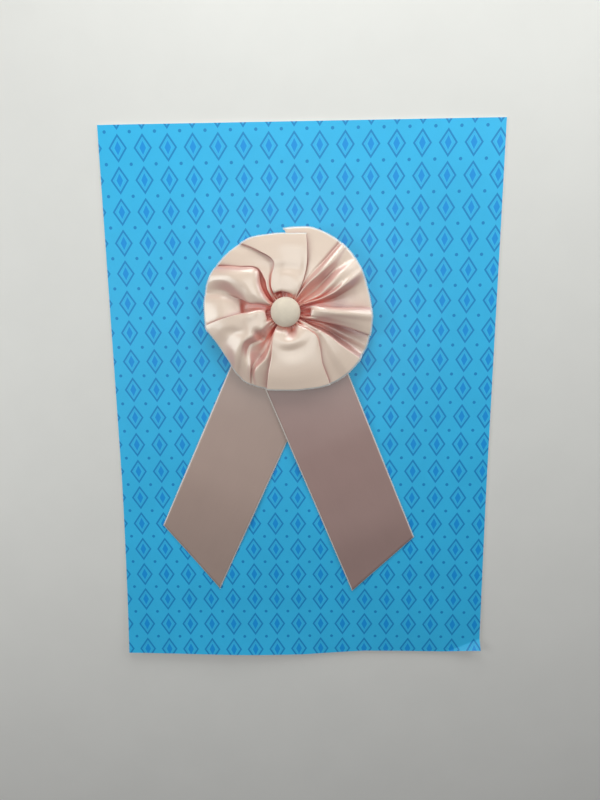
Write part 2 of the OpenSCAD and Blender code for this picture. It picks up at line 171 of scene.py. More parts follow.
# Radius of the rim in mm at angles in degrees
RIM = [
    (74.6, 45.1), (86.2, 43.6), (101.3, 44), (116.2, 45.8), (128.7, 46.4), (141.2, 47.2), (151, 48.3),
    (162.1, 48.5), (171.1, 48.2), (181.4, 47.9), (190.3, 48), (197, 45.9), (203.5, 44.5), (210, 44),
    (217.2, 44.1), (231, 46.7), (238.5, 48), (248.2, 47.2), (255.9, 46.6), (268.5, 45.6), (283.6, 46.3),
    (294.4, 48.2), (300.1, 49.3), (306.8, 50.3), (317.8, 51.1), (328.1, 51.5), (335.7, 51.8), (342.5, 51.3),
    (351.1, 50.6), (362.3, 49.9), (375.8, 49.2), (386.9, 49.7), (396.5, 50), (406.7, 50.2), (416.5, 49.9),
    (424.7, 49.7), (431.7, 49.4), (439.6, 48.1), (450.6, 46.6),
]
# Soft dents and swells. Columns: angle, radius, half length and half width in mm, turn from the
# radius, height in mm
SWELLS = [
    (200.6, 31.5, 5.0, 2.1, -23.0, -0.6),
    (221.5, 20.2, 3.2, 2.2, 90.0, -3.8),
    (330.7, 22.0, 0.9, 0.7, 0.0, -0.9),
    (111.0, 10.4, 1.2, 1.0, 0.0, 2.0),
    (86.0, 24.5, 8.0, 2.6, 90.0, -0.7),
]
# The gathers in mm: radius and height of the ring in the middle, height of the lowest cloth,
# the room under the button and its reach past it, and the lowest height above the tails
RING_R = 4.0
RING_Z = 4.9
LOWEST_FOLD = 4.8
COVERED_R = 8.6
COVERED_Z = 8.7
BUTTON_ROOM_Z = 9.0
BUTTON_REACH = 0.8
OVER_TAILS_Z = 4.05
# Shares of a fold's height that are left at the ring and under the button
RING_SHARE = 0.5
COVERED_SHARE = 0.8
# The pleats in mm: step, rise of those that show and of those under the button, and the places
# across the ribbon where they are highest and where the hidden ones end, each with its fade
PLEAT_STEP = 2.1
PLEAT_RISE = 0.45
HIDDEN_RISE = 1.6
PLEAT_AT = 4.6
PLEAT_FADE = 2.7
HIDDEN_END = 4.3
HIDDEN_FADE = 2.4
RIBBON_W = 50.0
# Lifts of the tails along their length. Columns: share of the length, lift in mm
LEFT_LIFTS = [(0, 0), (0.47, 0), (0.58, 0.2), (0.70, 0.6), (0.83, 0.15), (0.93, 0.1), (1, 0.6)]
RIGHT_LIFTS = [(0, 1.25), (0.47, 1.25), (0.58, 0.5), (0.70, 0), (0.83, 0.5), (0.93, 0.1), (1, 0.4)]
# The tails in mm. Columns: name, turn, shift, length at +X, length at -X, height of the cloth,
# tone of the satin as its threads lie to the light, lifts
TAILS = [
    ("tail_left", -24.6, -7.3, 155.5, 180.4, 1.6, (1.0, 0.985, 0.93), LEFT_LIFTS),
    ("tail_right", 22.1, 4.6, 181.0, 161.1, 1.6, (0.86, 0.76, 0.76), RIGHT_LIFTS),
]
TAIL_HIDDEN = 9.0
TAIL_ROWS = 110
TAIL_COLUMNS = 41
# A soft ripple along the tails in mm: how far it rises and sinks, its length for each radian, the
# place where it starts and the length over which it grows
RIPPLE_RISE = 0.10
RIPPLE_DEPTH = -0.05
RIPPLE_LONG = 17.0
RIPPLE_FROM = 60
RIPPLE_GROWS = 50
# The woven edge: how far its loops' middles lie outside the cloth, the yarn's share of a loop's
# size, and the size of the tails' loops as a share of the rosette's
PICOT_OUT = 0.05 * MM
YARN_SHARE = 0.32
TAIL_PICOTS = 0.62
SEED = 7
# The card's bends in metres: middle, half width and depth of the bow in its low edge, reach and
# steepness of its bent corner, where its low corners start to curl, and the right one's share
BOW_X = -0.034
BOW_HALF = 0.055
BOW_DEEP = 0.04
BENT_ALONG = 0.021
BENT_UP = 0.0105
BENT_STEEP = 1.15
CURL_Y = -0.045
RIGHT_CURL = 0.35
# Shifts of the card's low part in mm: outwards at the left and the right, upwards at the left,
# the right and the bent corner. Then the width in metres over which the right one grows
SHIFT_OUT = (1.8, 0.8)
SHIFT_UP = (1.3, 2.4, 3.0)
SHIFT_GROWS = 0.04
# The card's grid: width and height in metres of its finer strips at the right and the bottom,
# columns left of the one and in it, rows in the other and above it
FINE_W = 0.03
FINE_H = 0.045
CARD_COLUMNS = (40, 25)
CARD_ROWS = (37, 41)
# The print in metres: half width and half height of its diamonds, radius of its dots, and how
# far its grid's origin lies from the card's middle
DIAMOND = (4.7 * MM, 6.9 * MM)
SMALL_DIAMOND = (1.9 * MM, 3.9 * MM)
DOT_R = 0.95 * MM
PRINT_SHIFT = 0.5
# Half outline of the button's cap: radius and height in mm, for a cap 5 mm high
CAP_OUTLINE = [
    (5.6, 0.25), (6.4, 0.10), (7.2, 0.06), (7.8, 0.12), (8.2, 0.35), (8.45, 0.75), (8.6, 1.25), (8.52, 1.75),
    (8.25, 2.3), (7.75, 2.85), (7.0, 3.4), (6.0, 3.95), (4.8, 4.4), (3.4, 4.72), (1.8, 4.92), (0.6, 4.985),
]
CAP_OUTLINE_HIGH = 5.0
CAP_AROUND = 130
# The cap's pleats in mm: depth, height of the middle and reach, and the outline's points with
# pleats. Then the cap's slight unevenness in mm
CAP_PLEAT = 0.13
CAP_PLEAT_Z = 0.35
CAP_PLEAT_REACH = 0.75
CAP_PLEATED = 7
CAP_WAVE = 0.04
# The button's cloth in metres: thickness, and height of its part with painted shade
CAP_WALL = 0.3 * MM
CAP_SHADED = 1.6 * MM
# Steps and widths in the finishes, in metres: the satin's weave, the cords and width of its woven
# edge, the pale line at the tails' cut, the layers of the board, the threads of the button
WEAVE_ALONG = 0.42 * MM
WEAVE_ACROSS = 0.9 * MM
CORD_STEP = 0.7 * MM
SELVEDGE_W = 0.5 * MM
CUT_W = 0.3 * MM
LAYER_STEP = 0.22 * MM
THREAD_STEP = 0.40 * MM
# Lamps of the stage, aimed at LAMP_AIM. Columns: name, place and size in metres
LAMPS = [
    ("far", (-0.04, 0.50, 0.22), 0.26),
    ("corner", (0.40, 0.42, 0.26), 0.30),
    ("left", (-0.52, 0.06, 0.34), 0.30),
    ("right", (0.52, 0.06, 0.34), 0.30),
    ("over", (0.0, 0.10, 0.60), 0.35),
]
LAMP_AIM = (0.0, 0.03, 0.0)
LAMP_COLOUR = (0.93, 1.0, 0.98)
AIR_COLOUR = (0.92, 0.95, 1.0, 1.0)
FLOOR_HALF = 2
# The camera: focal length and picture height in pixels, turns in degrees, and the place of the
# card's middle before it in mm
FOCAL_PIXELS = 478.666
PICTURE_HIGH = 800.0
CAMERA_TURNS = (9.1607, -1.45745, 0.257726)
CAMERA_SHIFT = (1.25748, -6.42904, -294.72790)
SENSOR = 36.0
# The rays that look for the sky: reach in metres, number, and start off the cloth
SKY_REACH = 0.03
SKY_RAYS = 36
SKY_START = 0.0003


def colour_field(name, description, *screen_colour):
    """A colour of the panel, given as a screen colour."""
    colour = light(*screen_colour)
    return FloatVectorProperty(
        name=name, description=description, default=colour, subtype="COLOR", min=0, max=1
    )


def length_field(name, description, length):
    """A length of the panel, given in mm."""
    return FloatProperty(
        name=name, description=description, default=length * MM, unit="LENGTH", subtype="DISTANCE"
    )


def light_field(name, description, strength):
    """The power or strength of a light of the panel."""
    return FloatProperty(name=name, description=description, default=strength, min=0)


class CockadeCard(bpy.types.PropertyGroup):
    corner_lift: length_field("Corner lift", "Height of the bent corner", 3.0)
    curl: length_field("Curl", "Height of the lower left corner", 3.2)
    edge_lift: length_field("Edge lift", "Height of the bow in the low edge", 2.6)
    step_x: length_field("Print step across", "Distance between motifs in a row", 14.4)
    step_y: length_field("Print step up", "Distance between rows", 17.4)
    paper: colour_field("Paper", "Colour of the printed ground", 50, 189, 242)
    outline: colour_field("Outline", "Colour of the printed outlines", 12, 138, 206)
    filling: colour_field("Filling", "Colour of the printed fillings", 0, 150, 230)
    board: colour_field("Board", "Colour of the cut edges and the back", 226, 232, 232)


class CockadeRibbon(bpy.types.PropertyGroup):
    thickness: length_field("Cloth thickness", "Thickness of the ribbon", 0.36)
    satin: colour_field("Satin", "Colour of the rosette's open cloth", 244, 216, 197)
    # Painted shade: the next four colours, for the folds, the deepest folds, the steep slopes and the folds
    # near the rim, stand in for the shade and the warm bounced light there
    fold_shade: colour_field("Hollow", "Colour of the rosette in its folds", 249, 170, 152)
    depth: colour_field("Depth", "Colour of the rosette in its deepest folds", 231, 116, 111)
    slope_shade: colour_field("Blush", "Colour of the rosette on its steep slopes", 228, 178, 166)
    rim_fold_shade: colour_field("Dusk", "Colour of the rosette in its folds near the rim", 190, 132, 126)
    # Painted shade: the tails are the same satin as the rosette, given a darker colour for the duller look
    # their threads take in this light
    tails: colour_field("Tails", "Colour of the tails", 184, 156, 149)
    picot_step: length_field("Picot step", "Distance between the loops of the woven edge", 1.15)
    picot_size: length_field("Picot size", "Radius of one loop of the woven edge", 0.42)
    columns: IntProperty(
        name="Columns", description="Grid columns between two fold lines", default=7, min=3, max=12
    )


class CockadeButton(bpy.types.PropertyGroup):
    cloth: colour_field("Cloth", "Colour of the button's cloth", 240, 222, 202)
    pleats: IntProperty(
        name="Pleats", description="Pleats round the button's underside", default=26, min=8, max=60
    )


class CockadeStage(bpy.types.PropertyGroup):
    floor: colour_field("Floor", "Colour of the floor", 232, 226, 222)
    far: light_field("Far", "Power of the light beyond the top edge, in watts", 1.12)
    corner: light_field("Corner", "Power of the light beyond the far corner, in watts", 1.1)
    left: light_field("Left", "Power of the light at the left, in watts", 1.08)
    right: light_field("Right", "Power of the light at the right, in watts", 0.25)
    over: light_field("Over", "Power of the light overhead, in watts", 0.82)
    air: light_field("Air", "Strength of the light from all sides", 0.16)


def connect(tree, value, socket):
    """Links a number's or a node's output to the socket, or writes a plain value into it."""
    value = value.socket if isinstance(value, Number) else value
    if isinstance(value, bpy.types.NodeSocket):
        tree.links.new(value, socket)
    else:
        socket.default_value = value


def add_node(tree, kind, inputs=None, **settings):
    """One node: its type, its settings, then the values or links of its sockets."""
    node = tree.nodes.new(kind)
    for name, value in settings.items():
        setattr(node, name, value)
    for name, value in (inputs or {}).items():
        connect(tree, value, node.inputs[name])
    return node


def math_node(tree, operation, values, clamp=False):
    """The number that one Math node works out from others."""
    inputs = dict(enumerate(values))
    node = add_node(tree, "ShaderNodeMath", inputs, operation=operation, use_clamp=clamp)
    return Number(tree, node.outputs[0])


def operator(operation, reflected=False):
    """An operator of Number: it adds one Math node."""

    def result(self, other):
        return math_node(self.tree, operation, (other, self) if reflected else (self, other))

    return result


class Number:
    """A number in a node tree. An expression on it adds its Math nodes."""

    __add__ = __radd__ = operator("ADD")
    __mul__ = __rmul__ = operator("MULTIPLY")
    __sub__ = operator("SUBTRACT")
    __rsub__ = operator("SUBTRACT", reflected=True)
    __truediv__ = operator("DIVIDE")
    __rtruediv__ = operator("DIVIDE", reflected=True)
    most = operator("MAXIMUM")

    def __init__(self, tree, socket):
        self.tree = tree
        self.socket = socket

    def math(self, operation, *others, clamp=False):
        return math_node(self.tree, operation, (self, *others), clamp)

    def __abs__(self):
        return self.math("ABSOLUTE")

    def from_middle(self, step, shift):
        """Distance from the middle of its cell, where cells of that step follow each other."""
        return abs(((self + shift) / step).math("FRACT") * step - step / 2)

    def within(self, limit, soft):
        """1 below the limit and 0 above it, with a soft border."""
        return ((limit - self) / soft + 0.5).math("ADD", 0.0, clamp=True)

    def wave(self):
        """Its sine, from 0 to 1."""
        return self.math("SINE") * 0.5 + 0.5

    def eased(self, low, high):
        """0 below low and 1 above high, eased between them."""
        inputs = {"Value": self, "From Min": low, "From Max": high}
        node = add_node(self.tree, "ShaderNodeMapRange", inputs, interpolation_type="SMOOTHSTEP")
        return Number(self.tree, node.outputs[0])


def opaque(colour):
    """A colour's three numbers with its alpha, or a socket as it is."""
    return colour if isinstance(colour, bpy.types.NodeSocket) else (*colour, 1.0)


class Finish:
    """One material with its node tree."""

    def __init__(self, name):
        self.material = bpy.data.materials.new(name)
        self.material.use_nodes = True
        self.tree = self.material.node_tree
        self.tree.nodes.clear()
        self.shader = self.node("ShaderNodeBsdfPrincipled")
        self.node("ShaderNodeOutputMaterial", {"Surface": self.shader.outputs[0]})

    def node(self, kind, inputs=None, **settings):
        return add_node(self.tree, kind, inputs, **settings)

    def numbers(self, vector):
        """The three numbers of a vector."""
        node = self.node("ShaderNodeSeparateXYZ", {0: vector})
        return [Number(self.tree, out) for out in node.outputs]

    def place(self):
        """Object coordinates, as a vector and as its three numbers."""
        vector = self.node("ShaderNodeTexCoord").outputs["Object"]
        return vector, self.numbers(vector)

    def cloth(self):
        """Place on the ribbon in metres, as a vector and as the numbers along it and across it."""
        vector = self.node("ShaderNodeUVMap", uv_map="ribbon").outputs[0]
        return vector, self.numbers(vector)[:2]

    def attribute(self, name):
        node = self.node("ShaderNodeAttribute", attribute_name=name)
        return Number(self.tree, node.outputs["Fac"])

    def vector(self, x, y, z=0.0):
        return self.node("ShaderNodeCombineXYZ", {0: x, 1: y, 2: z}).outputs[0]

    def noise(self, vector, scale, detail=2.0, rough=0.5):
        inputs = {"Vector": vector, "Scale": scale, "Detail": detail, "Roughness": rough}
        return Number(self.tree, self.node("ShaderNodeTexNoise", inputs).outputs[0])

    def mix(self, share, low, high):
        """Colour low at a share of 0 and colour high at 1."""
        inputs = {0: share, 6: opaque(low), 7: opaque(high)}
        return self.node("ShaderNodeMix", inputs, data_type="RGBA").outputs[2]

    def clouded(self, share, colour, darker, lighter):
        """The colour between a darker and a lighter tone of itself."""
        return self.mix(share, [c * darker for c in colour], [min(1, c * lighter) for c in colour])

    def shade(self, colour, amount):
        """The colour times a number."""
        inputs = {0: colour, "Scale": amount}
        return self.node("ShaderNodeVectorMath", inputs, operation="SCALE").outputs[0]

    def bump(self, height, distance, strength):
        inputs = {"Height": height, "Distance": distance, "Strength": strength}
        return self.node("ShaderNodeBump", inputs).outputs[0]

    def set(self, **values):
        """Gives the shader its values and links, and returns the material."""
        for name, value in values.items():
            connect(self.tree, value, self.shader.inputs[name.replace("_", " ")])
        return self.material


def fold_colours(finish, across, satin, fold_shade, depth, slope_shade, rim_fold_shade):
    """Painted shade: a pinker shade on steep slopes, a warm shade where little of the sky is seen, and a
    mauve shade there near the rim.
    """
    near_rim = across.eased(17 * MM, 34 * MM)
    # Near the rim the cloth counts as seeing less sky, so more painted shade falls there
    seen = finish.attribute("open_sky") - near_rim * 0.16
    base = finish.mix(finish.attribute("steep").eased(0.02, 0.32), satin, slope_shade)
    base = finish.mix(seen.eased(0.18, 0.84), finish.mix(near_rim, fold_shade, rim_fold_shade), base)
    # The deepest folds get the darkest painted shade, dark red, turning mauve near the rim
    return finish.mix(seen.eased(0.02, 0.36), finish.mix(near_rim * 0.8, depth, rim_fold_shade), base)


def ribbon_satin(name, colours, edge, gloss):
    """Satin with its fine weave and a lighter woven edge. The rosette's has painted shade: a colour for each
    depth of its folds.
    """
    finish = Finish(name)
    vector, (along, across) = finish.cloth()
    threads = finish.noise(finish.vector(along * 60, across * 1400), 1.0, 2.0, 0.6)
    slubs = finish.noise(finish.vector(along * 25, across * 160), 1.0)
    clouds = finish.noise(vector, 38.0)
    tone = 0.955 + threads * 0.05 + slubs * 0.025 + clouds * 0.02
    selvedge = abs(across - RIBBON_W * MM).within(SELVEDGE_W, 0.2 * MM)
    if len(colours) > 1:
        base = fold_colours(finish, across, *colours)
    else:
        base = finish.clouded(clouds.eased(0.3, 0.75), colours[0], 0.985, 1.015)
        cut = finish.attribute("cut").within(CUT_W, 0.25 * MM)
        selvedge = abs(across).within(SELVEDGE_W, 0.2 * MM).most(selvedge).most(cut * (0.55 + slubs * 0.4))
        # Painted shade: the tails grow up to 15% darker towards their cut ends, where less light falls
        tone = tone * (1 - along.eased(100 * MM, 175 * MM) * 0.15)
    weave = (along * (TURN / WEAVE_ALONG) + across * (TURN / WEAVE_ACROSS)).wave()
    cords = (along * (TURN / CORD_STEP)).wave()
    height = threads * 0.7 + weave * 0.3 + selvedge * (cords * 1.2 + 1.0)
    return finish.set(
        Base_Color=finish.mix(selvedge, finish.shade(base, tone), edge),
        Roughness=0.34 + threads * 0.10,
        Normal=finish.bump(height, 0.05 * MM, 0.8),
        Specular_IOR_Level=0.8,
        Coat_Weight=gloss,
        Coat_Roughness=0.22,
        Coat_IOR=1.7,
    )


def picot_yarn(name, colour):
    finish = Finish(name)
    fuzz = finish.noise(finish.place()[0], 2600.0)
    return finish.set(
        Base_Color=finish.shade(colour, 0.94 + fuzz * 0.10),
        Roughness=0.55 + fuzz * 0.15,
        Normal=finish.bump(fuzz, 0.04 * MM, 0.6),
        Sheen_Weight=0.15,
    )


def printed_paper(p):
    """Glazed paper with outlined diamonds, small solid diamonds and dots on a straight grid."""
    finish = Finish("card_print")
    vector, (x, y, _) = finish.place()
    x = x.from_middle(p.step_x, PRINT_SHIFT)
    y = y.from_middle(p.step_y, PRINT_SHIFT)
    reach = x / DIAMOND[0] + y / DIAMOND[1]
    border = 0.035
    outline = abs(reach - 1.0).within(0.13, border)
    inner_line = abs(reach - 0.72).within(0.03, border) * 0.35
    filling = (x / SMALL_DIAMOND[0] + y / SMALL_DIAMOND[1]).within(1.0, border * 3)
    far_x = p.step_x / 2 - x
    far_y = p.step_y / 2 - y
    dot = (far_x * far_x + far_y * far_y).math("SQRT").within(DOT_R, 0.14 * MM)
    clouds = finish.noise(vector, 30.0, 3.0, 0.6)
    grain = finish.noise(vector, 900.0, 2.0, 0.6)
    waves = finish.noise(vector, 55.0)
    ink = finish.clouded(clouds.eased(0.25, 0.8), p.paper, 0.97, 1.03)
    ink = finish.mix(outline.most(dot).most(inner_line), ink, p.outline)
    ink = finish.mix(filling, ink, p.filling)
    return finish.set(
        Base_Color=finish.shade(ink, 0.97 + grain * 0.06),
        Roughness=0.45 + grain * 0.08,
        Normal=finish.bump(waves * 0.8 + grain * 0.05, 0.25 * MM, 0.25),
        Coat_Weight=0.15,
        Coat_Roughness=0.25,
    )


def cut_board(p):
    """Pale board, layered where it is cut."""
    finish = Finish("card_board")
    vector, (_, _, z) = finish.place()
    layers = (z * (TURN / LAYER_STEP)).wave()
    fibres = finish.noise(vector, 700.0, 3.0, 0.7)
    base = finish.mix(layers * 0.25, p.board, light(205, 212, 214))
    return finish.set(
        Base_Color=finish.shade(base, 0.93 + fibres * 0.12),
        Roughness=0.75 + fibres * 0.1,
        Normal=finish.bump(fibres + layers * 0.4, 0.08 * MM, 0.6),
    )


def button_cloth(colour):
    """Fine matt cloth drawn over the button, with painted shade: warmer and darker low down between its
    pleats.
    """
    finish = Finish("button_cloth")
    vector, (x, y, _) = finish.place()
    threads = ((x + y) * (TURN / THREAD_STEP)).wave() * ((x - y) * (TURN / THREAD_STEP)).wave()
    clouds = finish.noise(vector, 210.0, 3.0, 0.6)
    fuzz = finish.noise(vector, 2400.0, 2.0, 0.6)
    base = finish.clouded(clouds.eased(0.3, 0.7), colour, 0.965, 1.03)
    # Painted shade low on the cap, where its open_sky value falls off
    base = finish.mix(finish.attribute("open_sky").eased(0.0, 0.6), light(214, 150, 136), base)
    return finish.set(
        Base_Color=finish.shade(base, 0.95 + threads * 0.05 + fuzz * 0.04),
        Roughness=0.62 + fuzz * 0.12,
        Normal=finish.bump(threads + fuzz * 0.5, 0.06 * MM, 0.7),
        Sheen_Weight=0.25,
        Sheen_Roughness=0.5,
    )


def moulded_core():
    finish = Finish("button_core")
    flow = finish.noise(finish.place()[0], 160.0, 3.0, 0.6)
    base = finish.mix(flow.eased(0.3, 0.7), light(214, 210, 202), light(226, 222, 214))
    return finish.set(
        Base_Color=finish.shade(base, 0.97 + flow * 0.04),
        Roughness=0.5 + flow * 0.1,
        Normal=finish.bump(flow, 0.05 * MM, 0.3),
    )


def floor_paint(colour):
    finish = Finish("floor")
    grain = finish.noise(finish.place()[0], 24.0, 3.0, 0.6)
    base = finish.clouded(grain.eased(0.3, 0.7), colour, 0.985, 1.0)
    return finish.set(Base_Color=finish.shade(base, 0.99 + grain * 0.02), Roughness=0.65)


def steady_slopes(x, y):
    """Slopes of a curve without overshoot through the rows of y at the places x."""
    step = np.diff(x)[:, None]
    rise = np.diff(y, axis=0) / step
    slope = np.zeros_like(y)
    before, after = rise[:-1], rise[1:]
    same = before * after > 0
    first = step[1:] * 2 + step[:-1]
    second = step[1:] + step[:-1] * 2
    with np.errstate(divide="ignore", invalid="ignore"):
        slope[1:-1] = np.where(same, (first + second) / (first / before + second / after), 0.0)
    slope[0], slope[-1] = rise[0], rise[-1]
    return slope


def through(x, y, slope, at):
    """The curve's rows at the places in at."""
    k = np.clip(np.searchsorted(x, at, side="right") - 1, 0, len(x) - 2)
    step = (x[k + 1] - x[k])[:, None]
    t = (at - x[k])[:, None] / step
    return (
        y[k] * (1 + 2 * t) * (1 - t) ** 2
        + slope[k] * step * t * (1 - t) ** 2
        + y[k + 1] * t * t * (3 - 2 * t)
        - slope[k + 1] * step * t * t * (1 - t)
    )


def steady(x, y, at):
    """The rows at the places in at, of the curve without overshoot through the rows of y."""
    return through(x, y, steady_slopes(x, y), at)


def rosette_surface(per_row):
    """The middle of the rosette's cloth: points in mm for each place along and each place across."""
    count = len(FOLDS)
    angles = np.array([row[1:7] for row in FOLDS])
    heights = np.array([row[7:14] for row in FOLDS])
    radii = np.array([(RING_R, COVERED_R, *OTHER_R.get(row[0], STATION_R)) for row in FOLDS])
    # The table has no angle at the second station: it lies between the first and the third
    near = angles[:, :1] * 0.6 + angles[:, 1:2] * 0.4
    turn = np.concatenate([angles[:, :1]] * 3 + [near, angles[:, 1:]], axis=1)
    over = heights[:, :1] - LOWEST_FOLD
    covered = np.minimum(RING_Z + COVERED_SHARE * over, COVERED_Z)
    level = np.concatenate([RING_Z + RING_SHARE * over, covered, heights], axis=1)
    rows = np.arange(count) * 1.0
    along = np.linspace(0, count - 1, (count - 1) * per_row + 1)
    turn, level, radii = (steady(rows, y, along) for y in (turn, level, radii))
    rim_at, rim_r = np.array(RIM).T
    rim = steady(rim_at, rim_r[:, None], np.clip(turn[:, -1], rim_at[0], rim_at[-1]))
    radii = np.concatenate([radii, rim], axis=1)
    places = np.array(ACROSS)
    spans = [np.linspace(places[i], places[i + 1], n, endpoint=False) for i, n in enumerate(ROWS_BETWEEN)]
    at = np.concatenate([*spans, places[-1:]])
    turn, level, radii = turn.T, level.T, radii.T
    bend = np.radians(steady(places, turn, at))
    # Halfway to rounder slopes, which the cloth's height follows across the ribbon
    slope = (steady_slopes(places, level) + np.gradient(level, places, axis=0)) / 2
    high = through(places, level, slope, at)
    out = steady(places, radii, at)
    points = np.stack([out * np.cos(bend), out * np.sin(bend), high], axis=-1)
    return swells(gathers(points, at)).transpose(1, 0, 2), at


def travelled(line):
    """Distance along a line of points up to each of them."""
    return np.concatenate([[0], np.cumsum(np.linalg.norm(np.diff(line, axis=0), axis=1))])


def gathers(points, at):
    """Fine pleats that fan out from under the button and die away."""
    length = travelled(points[at.searchsorted(ACROSS[2])])
    # Two slow waves make the steps of the pleats uneven
    phase = length * TURN / PLEAT_STEP + 1.1 * np.sin(length / 4.1) + 0.8 * np.sin(length / 1.7 + 1)
    seen = np.exp(-(((at - PLEAT_AT) / PLEAT_FADE) ** 2))
    hidden = np.clip((HIDDEN_END - at) / HIDDEN_FADE, 0, 1)
    rise = (PLEAT_RISE * seen * (1 - hidden) + HIDDEN_RISE * hidden)[:, None]
    points[..., 2] += rise * np.sin(phase)[None, :]
    under_button = at < ACROSS[1] + BUTTON_REACH
    points[under_button, :, 2] = np.minimum(points[under_button, :, 2], BUTTON_ROOM_Z)
    inner = at < ACROSS[6]
    points[inner, :, 2] = np.maximum(points[inner, :, 2], OVER_TAILS_Z)
    return points


def swells(points):
    """Raises and lowers the cloth softly round the places of SWELLS."""
    for angle, r, long, wide, turn, rise in SWELLS:
        a = math.radians(angle)
        b = math.radians(angle + turn)
        offset = points[..., :2] - np.array([r * math.cos(a), r * math.sin(a)])
        u = offset @ np.array([math.cos(b), math.sin(b)])
        v = offset @ np.array([-math.sin(b), math.cos(b)])
        points[..., 2] += rise * np.exp(-((u / long) ** 2) - (v / wide) ** 2)
    return points


def add_object(name, data):
    """An object at the origin with a mesh, a lamp or a camera."""
    thing = bpy.data.objects.new(name, data)
    bpy.context.scene.collection.objects.link(thing)
    return thing


def add_mesh(name, vertices, faces, materials, smooth=True, kinds=None):
    """A mesh object from points in metres. kinds gives each face's material."""
    mesh = bpy.data.meshes.new(name)
    mesh.from_pydata([tuple(v) for v in vertices], [], [tuple(int(i) for i in f) for f in faces])
    for material in materials:
        mesh.materials.append(material)
    if kinds is not None:
        mesh.polygons.foreach_set("material_index", kinds)
    mesh.polygons.foreach_set("use_smooth", [smooth] * len(mesh.polygons))
    mesh.update()
    return add_object(name, mesh)


def grid_faces(columns, rows):
    i, j = np.meshgrid(np.arange(columns - 1), np.arange(rows - 1), indexing="ij")
    a = (i * rows + j).ravel()
    return np.stack([a, a + rows, a + rows + 1, a + 1], axis=1)


def facing_up(vertices, faces):
    a, b, c = (vertices[faces[:, k]] for k in (0, 1, 2))
    if np.cross(b - a, c - a)[:, 2].sum() < 0:
        return faces[:, ::-1]
    return faces


def cloth_object(name, points, along, across, material):
    """Ribbon from a grid of points in metres, with its own place on the ribbon as a UV map."""
    vertices = points.reshape(-1, 3)
    faces = facing_up(vertices, grid_faces(*points.shape[:2]))
    thing = add_mesh(name, vertices, faces, [material])
    place = np.stack([along.ravel(), across.ravel()], axis=1)
    loops = np.zeros(len(thing.data.loops), dtype=np.int32)
    thing.data.loops.foreach_get("vertex_index", loops)
    layer = thing.data.uv_layers.new(name="ribbon")
    layer.data.foreach_set("uv", place[loops].astype(np.float32).ravel())
    return thing


def thicken(thing, thickness, offset=0.0):
    wall = thing.modifiers.new("wall", "SOLIDIFY")
    wall.thickness = thickness
    wall.offset = offset


def vertex_vectors(mesh, name):
    """One vector of each vertex, as the rows of an array."""
    values = np.zeros(len(mesh.vertices) * 3, dtype=np.float32)
    mesh.vertices.foreach_get(name, values)
    return values.reshape(-1, 3)


def sky_share(thing, other):
    """Share of the sky that each point of the cloth's face sees past its folds and the other piece."""
    mesh = thing.data
    co = vertex_vectors(mesh, "co").astype(float)
    normals = vertex_vectors(mesh, "normal").astype(float)
    vertices = [Vector(v) for v in co]
    faces = [tuple(p.vertices) for p in mesh.polygons]
    vertices += [other.matrix_world @ v.co for v in other.data.vertices]
    faces += [tuple(len(co) + i for i in p.vertices) for p in other.data.polygons]
    tree = BVHTree.FromPolygons(vertices, faces)
    k = np.arange(SKY_RAYS) + 0.5
    tilt = np.sqrt(k / SKY_RAYS)
    spin = math.pi * (1 + 5**0.5) * k
    local = np.stack([tilt * np.cos(spin), tilt * np.sin(spin), np.sqrt(1 - tilt**2)], axis=1)
    share = np.zeros(len(co))
    for i, n in enumerate(normals):
        side = np.cross(n, (0.0, 0.0, 1.0) if abs(n[2]) < 0.9 else (1.0, 0.0, 0.0))
        side /= np.linalg.norm(side)
        directions = local @ np.stack([side, np.cross(n, side), n])
        start = Vector(co[i] + n * SKY_START)
        clear = sum(tree.ray_cast(start, Vector(d), SKY_REACH)[0] is None for d in directions)
        share[i] = clear / SKY_RAYS
    return share


def softened(share):
    """The grid with each inner value evened out by its four neighbours."""
    soft = share.copy()
    soft[1:-1, 1:-1] = (
        share[1:-1, 1:-1] * 4
        + share[:-2, 1:-1]
        + share[2:, 1:-1]
        + share[1:-1, :-2] * 1.5
        + share[1:-1, 2:] * 1.5
    ) / 9
    return soft


def paint_attribute(thing, name, values):
    attribute = thing.data.attributes.new(name, "FLOAT", "POINT")
    attribute.data.foreach_set("value", np.asarray(values, dtype=np.float32))


def settle(thing):
    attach(thing, "root")


def edge_path(name, line, outward):
    """A line of points with the direction in which the cloth ends, for the loops to follow."""
    mesh = bpy.data.meshes.new(name)
    mesh.from_pydata([tuple(p) for p in line], [(i, i + 1) for i in range(len(line) - 1)], [])
    attribute = mesh.attributes.new("outward", "FLOAT_VECTOR", "POINT")
    attribute.data.foreach_set("vector", np.asarray(outward, dtype=np.float32).ravel())
    return add_object(name, mesh)


